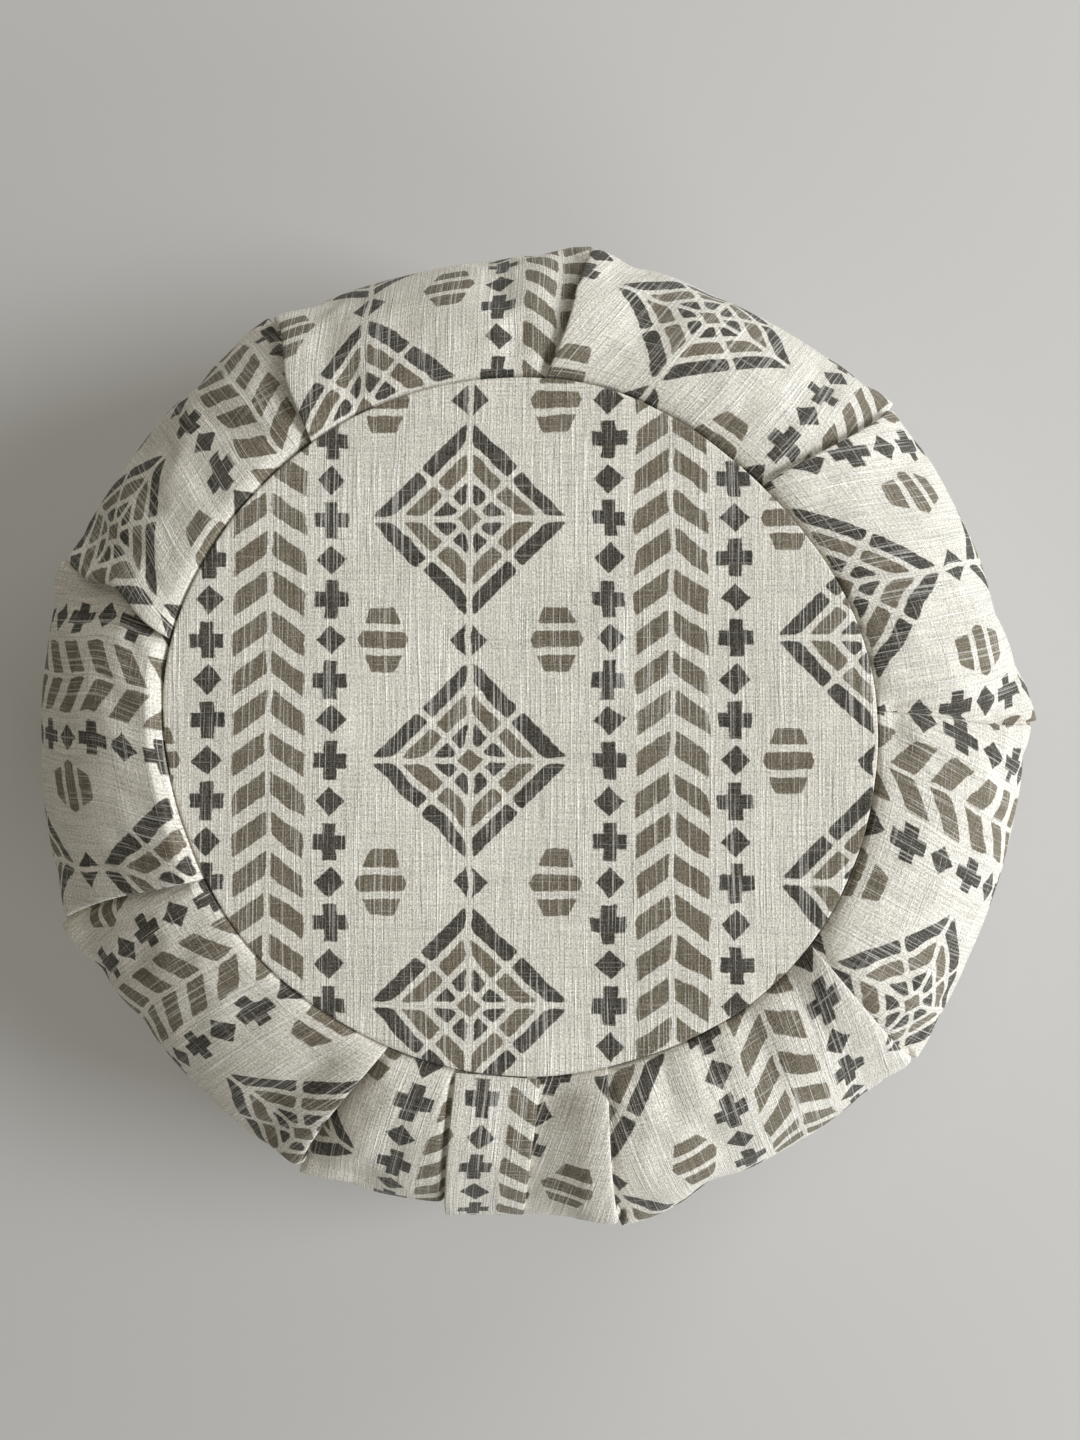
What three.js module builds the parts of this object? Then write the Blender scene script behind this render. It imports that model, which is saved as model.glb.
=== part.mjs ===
// A round meditation cushion (zafu): an upper and a lower round panel are joined by a side
// band that is longer than the panels' edge. Nine knife pleats take up the difference at both
// seams and open out on the belly, where each ends in a small soft corner. A flat carrying
// strap is sewn into both seams and lies on the band.
// Millimetres, +Z up. The cushion lies on z = 0, and the Z axis runs through the middle of both
// panels. The strap is on the -Y side.

import * as THREE from 'three';
import { mergeVertices } from 'three/addons/utils/BufferGeometryUtils.js';

// Cloth
const CLOTH = 1.6; // a panel with the seam allowance that backs its edge
const GAP = 0.3; // between pieces that are sewn together

// Panels
const SEAM_LOW = 6; // height of the lower seam
const SEAM_HIGH = 110; // height of the upper seam
const CROWN = 3; // the upper panel's middle stands this far above its seam
const REST_SHARE = 0.78; // share of the lower panel's radius that lies flat on the surface

// Side band: an ellipse in section, which starts almost level at each seam and turns outwards
const BELLY_HEIGHT = (SEAM_LOW + SEAM_HIGH) / 2;
const LIP_ANGLE = THREE.MathUtils.degToRad(5); // turn of the ellipse between seam and lip
const LIP_RISE = (SEAM_HIGH - SEAM_LOW) / 2 / Math.cos(LIP_ANGLE); // half height, lip to lip
const PLEAT_DEPTH = 6; // how far the tucked side lies under the folded edge
const TUCK_WIDTH = 20; // the tucked side comes back up over this width
const FOLD_WIDTH = 2.5; // the folded edge drops away within this width

// Strap
const STRAP_ANGLE = -94.4; // degrees from +X, half way between two pleats
const STRAP_SEAM_WIDTH = 29.4; // width where it enters the seams
const STRAP_BELLY_WIDTH = 28.8; // width on the belly
const STRAP_SEAM_SHIFT = 0.9; // its middle lies this far to the side of its angle at the seams
const STRAP_BELLY_SHIFT = -1.2; // and this far on the belly
const STRAP_THICKNESS = 2.4;
const STRAP_LIFT = 0.5; // between the band and the strap
const STRAP_INSET = 0.03; // the strap's ends stop this far (radians) short of the seams

// Facets
const PANEL_COLUMNS = 11; // columns between one pleat and the next
const BAND_ROWS = 18;
const UPPER_RINGS = [0, 0.35, 0.65, 0.86, 1]; // shares of the panels' radius
const LOWER_RINGS = [0, 0.4, REST_SHARE, 0.9, 1];
const STRAP_ROWS = 24;
const STRAP_COLUMNS = 4;

// The pleats, counter-clockwise from +X. Angles are in degrees and radii in millimetres.
// fold: where the pleat leaves the seams; corner: where it opens out on the belly;
// seam: the panels' radius at the fold; reach: the belly's radius at the corner;
// belly: the belly's radius half way to the next pleat.
const PLEATS = [
  { fold: 2.6, corner: 0.3, seam: 123, reach: 190, belly: 184.2 },
  { fold: 45, corner: 40.8, seam: 119, reach: 187, belly: 182.5 },
  { fold: 85.7, corner: 81.4, seam: 123.5, reach: 187, belly: 181.5 },
  { fold: 126, corner: 121, seam: 125, reach: 187, belly: 184.6 },
  { fold: 165.3, corner: 159.4, seam: 127, reach: 189.5, belly: 186.5 },
  { fold: 205, corner: 201.8, seam: 122, reach: 190.5, belly: 183.8 },
  { fold: 246.9, corner: 242, seam: 119, reach: 185.5, belly: 180.6 },
  { fold: 283.9, corner: 280.2, seam: 120, reach: 188, belly: 184.2 },
  { fold: 322.9, corner: 319.2, seam: 124, reach: 190, belly: 186.2 },
];

const lerp = THREE.MathUtils.lerp;

// The pleat at the clockwise end of a panel and the one at its other end.
function pleatsOf(panel) {
  const first = PLEATS[panel % PLEATS.length];
  const next = PLEATS[(panel + 1) % PLEATS.length];
  const turn = next.fold < first.fold ? 360 : 0;
  return { first, next, turn };
}

// How much of a fold's lean is left at a turn of the band: all at the seams, none on the belly.
// Seen from above, this makes each fold a nearly straight line.
function leanAt(turn) {
  const run = (Math.sin(turn) + Math.sin(LIP_ANGLE)) / (1 + Math.sin(LIP_ANGLE));
  return (1 - run) ** 2;
}

// Direction of a point that lies a share of the way across a panel. lean is 1 at the seams and
// 0 on the belly.
function directionAcross(panel, share, lean) {
  const { first, next, turn } = pleatsOf(panel);
  const start = lerp(first.corner, first.fold, lean);
  const end = lerp(next.corner, next.fold, lean) + turn;
  return THREE.MathUtils.degToRad(lerp(start, end, share));
}

function seamRadius(panel, share) {
  const { first, next } = pleatsOf(panel);
  return lerp(first.seam, next.seam, THREE.MathUtils.smoothstep(share, 0, 1));
}

// The belly is nearly straight between its corners, and bows out a little in the middle.
function bellyRadius(panel, share) {
  const { first, next } = pleatsOf(panel);
  const corners = lerp(first.reach, next.reach, share);
  const middle = 1 - (2 * share - 1) ** 2;
  return lerp(corners, first.belly, middle);
}

// Depth of the pleats under the band's full surface: the counter-clockwise side of each fold
// line is tucked under, and the clockwise side lies on top with a sharp edge. closed is 1 at the
// seams, where the pleats are shut, and 0 on the belly.
function pleatDepth(share, width, closed) {
  const tucked = Math.max(0, 1 - (share * width) / TUCK_WIDTH);
  const folded = Math.max(0, 1 - ((1 - share) * width) / FOLD_WIDTH);
  const depth = PLEAT_DEPTH * Math.sin(0.8 * Math.PI * closed);
  return depth * Math.max(tucked ** 2, folded);
}

// A point of the side band. turn runs from -LIP_ANGLE at the upper seam, through a quarter turn
// on the belly, to a half turn and LIP_ANGLE at the lower seam.
function bandPoint(panel, share, turn, lift = 0) {
  const closed = Math.min(1, Math.abs(Math.cos(turn)) / Math.cos(LIP_ANGLE));
  const lean = leanAt(turn);
  const outer = bellyRadius(panel, share);
  const inner = seamRadius(panel, share);
  const swell = (outer - inner) / (1 + Math.sin(LIP_ANGLE));
  const radius = outer - swell + swell * Math.sin(turn);
  const direction = directionAcross(panel, share, lean);
  const width = radius * (directionAcross(panel, 1, lean) - directionAcross(panel, 0, lean));
  const normal = new THREE.Vector2(Math.sin(turn) / swell, Math.cos(turn) / LIP_RISE).normalize();
  const offset = lift - pleatDepth(share, width, closed);
  return pointAt(
    direction,
    radius + offset * normal.x,
    BELLY_HEIGHT + LIP_RISE * Math.cos(turn) + offset * normal.y,
  );
}

function pointAt(direction, radius, height) {
  return new THREE.Vector3(radius * Math.cos(direction), radius * Math.sin(direction), height);
}

// Height of the upper panel's outer face, and of the lower panel's, at a share of the radius.
function upperFace(ring) {
  return SEAM_HIGH + CROWN * (1 - ring ** 2);
}

function lowerFace(ring) {
  const raised = Math.max(0, ring - REST_SHARE) / (1 - REST_SHARE);
  return SEAM_LOW * raised ** 2;
}

// A row of points on a panel's face, or behind it, in line with the columns of the band.
function panelRow(face, ring, behind, inset) {
  return (panel, share) => {
    const seam = seamRadius(panel, share);
    const radius = ring * (seam - inset);
    return pointAt(directionAcross(panel, share, 1), radius, face(radius / seam) + behind);
  };
}

// A closed solid turned about Z. Each row gives the point at a panel and a share across it; the
// first and last rows lie on the axis. Columns crowd towards the pleats.
function turnedSolid(rows) {
  const columns = PLEATS.length * PANEL_COLUMNS;
  const blank = rows.map((row, index) => new THREE.Vector2(0, index));
  const geometry = new THREE.LatheGeometry(blank, columns);
  const position = geometry.getAttribute('position');
  for (let column = 0; column <= columns; column += 1) {
    const panel = Math.floor(column / PANEL_COLUMNS);
    const step = (column % PANEL_COLUMNS) / PANEL_COLUMNS;
    const share = (1 - Math.cos(Math.PI * step)) / 2;
    rows.forEach((row, index) => {
      const point = row(panel, share);
      position.setXYZ(column * rows.length + index, point.x, point.y, point.z);
    });
  }
  return closedGeometry(geometry);
}

function closedGeometry(geometry) {
  geometry.deleteAttribute('normal');
  geometry.deleteAttribute('uv');
  const merged = mergeVertices(geometry, 1e-4);
  merged.computeVertexNormals();
  return merged;
}

// The filled side band, from the face behind the lower panel, over the band, to the face behind
// the upper panel.
function sideBandGeometry() {
  const behind = CLOTH + GAP;
  const rows = LOWER_RINGS.map((ring) => panelRow(lowerFace, ring, behind, 0));
  for (let row = 0; row <= BAND_ROWS; row += 1) {
    const turn = lerp(Math.PI + LIP_ANGLE, -LIP_ANGLE, row / BAND_ROWS);
    rows.push((panel, share) => bandPoint(panel, share, turn));
  }
  const upperRows = UPPER_RINGS.map((ring) => panelRow(upperFace, ring, -behind, 0));
  return turnedSolid([...rows, ...upperRows.reverse()]);
}

// A round panel of cloth, between its underside and its upper side.
function panelGeometry(face, rings, under, over) {
  const underside = rings.map((ring) => panelRow(face, ring, under, GAP));
  const upperSide = rings.map((ring) => panelRow(face, ring, over, GAP));
  return turnedSolid([...underside, ...upperSide.reverse()]);
}

// The strap is a flat ribbon bent over the band, from one seam to the other.
function strapGeometry() {
  const direction = THREE.MathUtils.degToRad(STRAP_ANGLE + 360);
  const panel = PLEATS.findIndex((pleat, index) =>
    pleat.fold < STRAP_ANGLE + 360 && pleatsOf(index).next.fold > STRAP_ANGLE + 360);
  const geometry = new THREE.BoxGeometry(1, 1, 1, STRAP_COLUMNS, STRAP_ROWS, 1);
  const position = geometry.getAttribute('position');
  for (let index = 0; index < position.count; index += 1) {
    const along = position.getY(index) + 0.5;
    const turn = lerp(Math.PI + LIP_ANGLE - STRAP_INSET, STRAP_INSET - LIP_ANGLE, along);
    const width = lerp(STRAP_BELLY_WIDTH, STRAP_SEAM_WIDTH, Math.abs(Math.cos(turn)));
    const shift = lerp(STRAP_SEAM_SHIFT, STRAP_BELLY_SHIFT, Math.sin(turn));
    const start = directionAcross(panel, 0, leanAt(turn));
    const end = directionAcross(panel, 1, leanAt(turn));
    const middle = bandPoint(panel, (direction - start) / (end - start), turn);
    const aside = (shift + position.getX(index) * width) / Math.hypot(middle.x, middle.y);
    const share = (direction + aside - start) / (end - start);
    const lift = STRAP_LIFT + (position.getZ(index) + 0.5) * STRAP_THICKNESS;
    const point = bandPoint(panel, share, turn, lift);
    position.setXYZ(index, point.x, point.y, point.z);
  }
  return closedGeometry(geometry);
}

function cloth(colour) {
  return new THREE.MeshStandardMaterial({ color: colour, roughness: 0.92, metalness: 0 });
}

function piece(name, geometry, material) {
  const mesh = new THREE.Mesh(geometry, material);
  mesh.name = name;
  return mesh;
}

const cushion = new THREE.Group();
cushion.add(
  piece('side_band', sideBandGeometry(), cloth('#bdb6a6')),
  piece('top_panel', panelGeometry(upperFace, UPPER_RINGS, -CLOTH, 0), cloth('#cdc6b8')),
  piece('bottom_panel', panelGeometry(lowerFace, LOWER_RINGS, 0, CLOTH), cloth('#cdc6b8')),
  piece('handle', strapGeometry(), cloth('#b0a896')),
);

export default cushion;
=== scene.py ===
"""A round meditation cushion: a filled, pleated side band, two round panels and a flat handle."""
import math

import bmesh
import bpy
import numpy as np
from mathutils import Matrix, Vector, noise
from mathutils.bvhtree import BVHTree


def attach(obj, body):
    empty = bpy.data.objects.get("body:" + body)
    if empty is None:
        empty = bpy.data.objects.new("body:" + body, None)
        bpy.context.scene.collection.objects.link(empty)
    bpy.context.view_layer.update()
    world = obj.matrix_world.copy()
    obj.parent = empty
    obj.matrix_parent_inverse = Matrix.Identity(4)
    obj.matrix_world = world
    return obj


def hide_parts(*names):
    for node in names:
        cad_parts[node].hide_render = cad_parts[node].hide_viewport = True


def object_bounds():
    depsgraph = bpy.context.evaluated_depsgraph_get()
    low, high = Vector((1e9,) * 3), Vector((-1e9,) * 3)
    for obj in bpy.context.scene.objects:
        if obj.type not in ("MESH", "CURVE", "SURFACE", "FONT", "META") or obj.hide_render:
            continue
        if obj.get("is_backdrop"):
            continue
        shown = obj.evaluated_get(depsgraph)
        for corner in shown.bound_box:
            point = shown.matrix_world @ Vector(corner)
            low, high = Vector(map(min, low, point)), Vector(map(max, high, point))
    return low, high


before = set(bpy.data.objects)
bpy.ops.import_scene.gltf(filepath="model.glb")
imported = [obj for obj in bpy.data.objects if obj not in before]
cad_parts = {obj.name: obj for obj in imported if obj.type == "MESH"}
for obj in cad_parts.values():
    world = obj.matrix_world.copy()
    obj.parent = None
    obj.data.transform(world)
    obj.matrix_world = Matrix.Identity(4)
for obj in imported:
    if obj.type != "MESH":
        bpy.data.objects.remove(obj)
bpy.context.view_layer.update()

# ---------------------------------------------------------------------------------------------------
# Camera
# A phone held level above the cushion, a forearm's length over it. It leans a couple of degrees
# towards the handle's right, so a little more of that side of the band shows.
# ---------------------------------------------------------------------------------------------------
VIEW_HEIGHT = 0.3717
VIEW_LEAN = math.radians(2.27)
VIEW_LEAN_TOWARDS = math.radians(-55.2)
VIEW_LENS = 36.1
VIEW_OFFSET = (0.0131, -0.0091)

camera = bpy.data.objects.new("camera", bpy.data.cameras.new("camera"))
bpy.context.scene.collection.objects.link(camera)
camera.data.sensor_fit = "HORIZONTAL"
camera.data.sensor_width = 36
camera.data.lens = VIEW_LENS
camera.data.clip_start = 0.01
cushion_low, cushion_high = (Vector(corner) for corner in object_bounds())
cushion_middle = (cushion_low + cushion_high) / 2
camera.location = (
    cushion_middle.x + VIEW_OFFSET[0],
    cushion_middle.y + VIEW_OFFSET[1],
    cushion_high.z + VIEW_HEIGHT,
)
camera_back = Vector((
    math.sin(VIEW_LEAN) * math.cos(VIEW_LEAN_TOWARDS),
    math.sin(VIEW_LEAN) * math.sin(VIEW_LEAN_TOWARDS),
    math.cos(VIEW_LEAN),
))
camera_right = Vector((0, 1, 0)).cross(camera_back).normalized()
camera_up = camera_back.cross(camera_right)
camera.rotation_euler = Matrix((camera_right, camera_up, camera_back)).transposed().to_euler()
bpy.context.scene.camera = camera
bpy.context.scene.view_settings.view_transform = "Standard"

# ---------------------------------------------------------------------------------------------------
# Floor
# A plain pale sheet of studio board, painted matt and laid flat. It runs out far beyond the cushion,
# so that the view from above sees only board and no edge of it.
# ---------------------------------------------------------------------------------------------------
FLOOR_HALF = 3.0


def linear(red, green, blue):
    """A paint colour as an eye reads it, 0 to 255, turned into the light it sends back."""
    return tuple(
        (c / 255 / 12.92 if c / 255 <= 0.04045 else ((c / 255 + 0.055) / 1.055) ** 2.4)
        for c in (red, green, blue)
    ) + (1.0,)


def plain_mesh(name, shape):
    """The finished bmesh as an object that sits at the origin."""
    mesh = bpy.data.meshes.new(name)
    shape.to_mesh(mesh)
    shape.free()
    piece = bpy.data.objects.new(name, mesh)
    bpy.context.scene.collection.objects.link(piece)
    return piece


shape = bmesh.new()
bmesh.ops.create_grid(shape, x_segments=8, y_segments=8, size=FLOOR_HALF)
floor = plain_mesh("floor", shape)
floor_paint = bpy.data.materials.new("pale_floor_board")
floor_paint.use_nodes = True
nodes, links = floor_paint.node_tree.nodes, floor_paint.node_tree.links
board = nodes["Principled BSDF"]
board.inputs["Base Color"].default_value = linear(206, 204, 200)
board.inputs["Roughness"].default_value = 0.9
floor.data.materials.append(floor_paint)
floor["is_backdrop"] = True

# ---------------------------------------------------------------------------------------------------
# Side band
# One long strip of printed slub cotton, sewn to both round panels, laid in nine knife pleats and filled.
# Each pleat is deep at the two seams and opens to nothing round the belly, where it ends in a soft point.
# ---------------------------------------------------------------------------------------------------
MM = 0.001
# Heights in mm. Each row of the band is a turn round its side: from the upper seam, where the cloth
# faces up and a little inwards, out over the belly and under to the lower seam.
SEAM_HIGH, SEAM_LOW = 110.0, 6.0
BELLY_HEIGHT = 58.0
LIP_ANGLE = math.radians(5)
LIP_RISE = (SEAM_HIGH - BELLY_HEIGHT) / math.cos(LIP_ANGLE)
# The nine pleats, anticlockwise from the right. Angles are in degrees and the rest in mm.
#   fold, corner: where the folded edge meets the two seams, and where its point meets the belly
#   seam, reach, belly: radius of the seam, of the pleat's point, and of the panel after it
#   roll, cone: roll of the folded edge, and how far that opens into a cone towards the point
#   step, shut: how far the edge stands over the cloth it hides, and how far down it lies shut on it
#   proud, hood: how far the edge stands off the band, and how much more its point does
#   soft: how far the cloth on both sides rolls down into the fold
#   stray, waves: how far and how often the edge strays from a straight line
#   sink, gap: how deep the cloth beside the edge sinks, widely and right under it
#   lip, slack: how high the seam allowance lifts the panel after it, and how loosely that panel lies
PLEATS = [
    dict(
        fold=2.6, corner=0.3, seam=123, reach=191.5, belly=184.2,
        roll=0.5, cone=1.6, step=2.4, shut=0.5, proud=0.6, hood=1.8, soft=2.6,
        stray=0.6, waves=2.3, sink=1.0, gap=1.4, lip=0.3, slack=0,
    ),
    dict(
        fold=45, corner=40.8, seam=119, reach=187, belly=182.5,
        roll=0.5, cone=1.4, step=2.6, shut=0, proud=1.3, hood=1.4, soft=0.0,
        stray=0.6, waves=1.6, sink=1.2, gap=2.4, lip=0.4, slack=0,
    ),
    dict(
        fold=85.7, corner=81.4, seam=123.5, reach=187, belly=181.5,
        roll=0.6, cone=1.8, step=2.8, shut=0, proud=1.6, hood=2.2, soft=0.0,
        stray=1.3, waves=2.2, sink=1.8, gap=2.4, lip=1.3, slack=0,
    ),
    dict(
        fold=126, corner=121, seam=125, reach=187, belly=184.6,
        roll=0.7, cone=1.2, step=2.6, shut=0, proud=1.3, hood=1.8, soft=0.0,
        stray=1.6, waves=2.6, sink=1.2, gap=2.2, lip=1.0, slack=0.4,
    ),
    dict(
        fold=165.3, corner=159.4, seam=127, reach=189.5, belly=186.5,
        roll=1.0, cone=1.0, step=3.0, shut=0, proud=1.6, hood=2.2, soft=0.0,
        stray=2.0, waves=3.4, sink=2.2, gap=3.0, lip=3.2, slack=2.4,
    ),
    dict(
        fold=205, corner=201.8, seam=122, reach=190.5, belly=183.8,
        roll=0.6, cone=1.0, step=2.6, shut=0, proud=0.9, hood=1.6, soft=0.0,
        stray=0.6, waves=1.4, sink=0.8, gap=3.0, lip=0.5, slack=3.6,
    ),
    dict(
        fold=246.9, corner=242, seam=119, reach=185.5, belly=180.6,
        roll=0.8, cone=1.4, step=3.2, shut=0, proud=2.0, hood=2.2, soft=0.0,
        stray=0.5, waves=1.2, sink=2.0, gap=2.8, lip=0.6, slack=1.6,
    ),
    dict(
        fold=283.9, corner=280.2, seam=120, reach=188, belly=184.2,
        roll=0.8, cone=3.0, step=3.6, shut=0, proud=2.4, hood=0.8, soft=0.0,
        stray=0.3, waves=1.0, sink=1.7, gap=1.4, lip=0.5, slack=0,
    ),
    dict(
        fold=322.9, corner=319.2, seam=124, reach=190, belly=186.2,
        roll=0.8, cone=3.0, step=3.4, shut=0, proud=2.4, hood=1.0, soft=0.0,
        stray=0.4, waves=1.1, sink=0.8, gap=1.4, lip=0.4, slack=0,
    ),
]
# How finely the strip is divided: rows above and below the belly, then columns round a fold's roll,
# down half of its hidden legs, round its back, under its edge and over the open cloth beside it.
UPPER_ROWS, LOWER_ROWS = 34, 16
ROLL_TURN, LEG_HALF, BACK_TURN, UNDERLAP, OPEN_CLOTH = 4, 2, 3, 4, 29
BESIDE_FOLD = (0.0, 0.7, 1.6)
# The roll at the back of a fold, the swell of each panel, and its fullness beside a point, in mm.
BACK_ROLL = 0.3
PUFF = 1.3
SHOULDER = 2.6

# Where the handle lies over the band, in radians and mm, and how it leans across its panel from the seam
# to the belly. It presses a groove along its left edge, which the panel's columns follow, and a shallow
# valley that runs under it and out to its right.
STRAP_ANGLE = math.radians(360 - 94.4)
STRAP_SEAM_WIDTH, STRAP_BELLY_WIDTH = 29.4, 28.8
STRAP_SEAM_SHIFT, STRAP_BELLY_SHIFT = 0.9, -1.2
STRAP_PANEL = 6
GROOVE, STRAP_PRESS = 2.6, 4.8
PRESSED_MIDDLE, PRESSED_HALF = 20, 21
BESIDE_STRAP = (-2.4, -1.6, -0.8, 0.0)
STRAP_COLUMN = 15


def ease(value, low, high):
    """0 below low, 1 above high, and smooth between them."""
    share = np.clip((value - low) / (high - low), 0, 1)
    return share * share * (3 - 2 * share)


def strap_lie(turn):
    """How far the handle's middle lies to one side of its angle, and its width, at a turn of the band."""
    out, up = np.sin(turn), np.abs(np.cos(turn))
    middle = STRAP_SEAM_SHIFT + (STRAP_BELLY_SHIFT - STRAP_SEAM_SHIFT) * out
    return middle, STRAP_BELLY_WIDTH + (STRAP_SEAM_WIDTH - STRAP_BELLY_WIDTH) * up


def next_pleat(i):
    return (i + 1) % len(PLEATS)


def along_seam(i, share, what):
    """A size that eases from pleat i to the next, flat at both, as the two ends of the seam do."""
    return PLEATS[i][what] + (PLEATS[next_pleat(i)][what] - PLEATS[i][what]) * ease(share, 0, 1)


def belly_radius(i, share):
    """How far out the belly stands: from point to point, bowed out to the panel's own radius."""
    share = np.clip(share, 0, 1)
    points = PLEATS[i]["reach"] + (PLEATS[next_pleat(i)]["reach"] - PLEATS[i]["reach"]) * share
    return points + (PLEATS[i]["belly"] - points) * (1 - (2 * share - 1) ** 2)


MID_RADIUS = 160.0


def fold_angle(i, turn):
    """Where fold i crosses the rows, in radians, straying a little from a straight line."""
    pleat = PLEATS[i]
    run = np.clip((np.sin(turn) + math.sin(LIP_ANGLE)) / (1 + math.sin(LIP_ANGLE)), 0, 1)
    angle = np.radians(pleat["corner"] + (pleat["fold"] - pleat["corner"]) * (1 - run) ** 2)
    stray = np.sin(run * math.pi * pleat["waves"] + i * 1.7) - np.sin(i * 1.7) * (1 - run)
    return angle + pleat["stray"] * stray * np.sin(run * math.pi) ** 0.5 / MID_RADIUS


def band_place(i, share, turn, angle):
    """The band's smooth surface and its outward direction, before any cloth is laid on it."""
    inner, outer = along_seam(i, share, "seam"), belly_radius(i, share)
    swell = (outer - inner) / (1 + math.sin(LIP_ANGLE))
    radius = outer - swell + swell * np.sin(turn)
    height = BELLY_HEIGHT + LIP_RISE * np.cos(turn)
    out, up = np.sin(turn) / swell, np.cos(turn) / LIP_RISE
    length = np.hypot(out, up)
    normal = np.stack([out / length * np.cos(angle), out / length * np.sin(angle), up / length], -1)
    return np.stack([radius * np.cos(angle), radius * np.sin(angle), height], -1), normal


# The rows of the strip, closest at the seams: its cut depth is the way round the band from seam to seam.
SIDE_RADIUS = 56.0
STRIP_LENGTH = SIDE_RADIUS * (math.pi + 2 * LIP_ANGLE)
RIDGE_ROW = 4.9
beside_seam = np.array([0.4, 0.9]) / STRIP_LENGTH
row_share = np.concatenate([
    np.linspace(0, 0.5, UPPER_ROWS, endpoint=False), np.linspace(0.5, 1, LOWER_ROWS + 1)
])
row_share = row_share - 0.04 * np.sin(2 * math.pi * row_share)
row_share = np.sort(
    np.concatenate([beside_seam, [RIDGE_ROW / STRIP_LENGTH], row_share, 1 - beside_seam])
)
turn = -LIP_ANGLE + (math.pi + 2 * LIP_ANGLE) * row_share
seam_distance = STRIP_LENGTH * np.minimum(row_share, 1 - row_share)
belly_share = np.clip(1 - np.abs(np.cos(turn)) / math.cos(LIP_ANGLE), 0, 1)
# How far each row's pleats have opened, and how much of the sinking under an edge it has.
opened = np.clip(belly_share / 0.6, 0, 1)
tucked = np.minimum(1, seam_distance / 6) * (1 - opened ** 3)
sunk = np.minimum(1, seam_distance / 25) * (1 - opened ** 3)
count = len(PLEATS)
folds = [fold_angle(i, turn) for i in range(count)]


def panel_width(i):
    """The distance from fold to fold along each row, in mm and in radians."""
    span = (folds[next_pleat(i)] - folds[i]) % (2 * math.pi)
    middle, _ = band_place(i, 0.5, turn, folds[i])
    radius = np.hypot(middle[:, 0], middle[:, 1])
    return span * radius, span


# Each panel is cut as wide as it is at the belly; what it has over at the seams goes into the pleats.
widths, spans = zip(*(panel_width(i) for i in range(count)))
cut_width = [w.max() for w in widths]
spare = [
    (cut_width[i - 1] - widths[i - 1] + cut_width[i] - widths[i]) / 2 for i in range(count)
]
# A fold turns right back on itself at the seams, and hardly at all at its point.
POINT_BEND = 0.2
LEAST_LEG = 0.4


def pleat_lay(i):
    """The path of the cloth through pleat i, row by row: sideways from the edge, and down from it."""
    pleat = PLEATS[i]
    roll = pleat["roll"] * (1 + pleat["cone"] * opened ** 1.5)
    lean = math.pi - (math.pi - POINT_BEND) * ease(opened, 0.6, 1.0)
    most = pleat["step"]
    if pleat["shut"]:
        most = np.maximum(0.2, most * ease(opened, pleat["shut"] - 0.12, pleat["shut"] + 0.06))
    lean = np.minimum(lean, np.arccos(np.clip(1 - most / roll, -1, 1)))
    leg = np.maximum(LEAST_LEG, spare[i] / 2 * np.maximum(0, -np.cos(lean)))
    side, down = [], []
    for k in range(ROLL_TURN + 1):
        bend = lean * k / ROLL_TURN
        side.append(roll * np.sin(bend))
        down.append(-roll * (1 - np.cos(bend)))
    start_side, start_down = side[-1], down[-1]
    for k in range(1, 2 * LEG_HALF + 1):
        side.append(start_side + leg * np.cos(lean) * k / (2 * LEG_HALF))
        down.append(start_down - leg * np.sin(lean) * k / (2 * LEG_HALF))
    start_side, start_down = side[-1], down[-1]
    for k in range(1, BACK_TURN + 1):
        bend = lean * (1 - k / BACK_TURN)
        side.append(start_side + BACK_ROLL * (np.sin(lean) - np.sin(bend)))
        down.append(start_down - BACK_ROLL * (np.cos(bend) - np.cos(lean)))
    start_side, start_down = side[-1], down[-1]
    emerge = np.maximum(start_side + 1.6, 1.4)
    sinks = pleat["sink"] * sunk + pleat["gap"] * tucked
    for k in range(1, UNDERLAP + 1):
        side.append(start_side + (emerge - start_side) * k / UNDERLAP)
        down.append(start_down - sinks * ease(k / UNDERLAP, 0, 1))
    return np.array(side), np.array(down)


# How far the handle's left edge lies from the fold before it, row by row.
strap_middle, strap_wide = strap_lie(turn)
strap_side = (STRAP_ANGLE - folds[STRAP_PANEL]) * widths[STRAP_PANEL] / spans[STRAP_PANEL]
strap_side = strap_side + strap_middle - strap_wide / 2
lays = [pleat_lay(i) for i in range(count)]


def edge_proud(i):
    """How far the fold's edge stands off the band: half its own step, and more at its point."""
    pleat, (side, down) = PLEATS[i], lays[i]
    step = -down[-1 - UNDERLAP]
    rise = 0.45 * step + pleat["proud"] * (1 - opened ** 2)
    point = np.exp(-((opened - 0.85) / 0.22) ** 2)
    return rise * np.minimum(1, seam_distance / 9) ** 0.7 + pleat["hood"] * point


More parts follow.
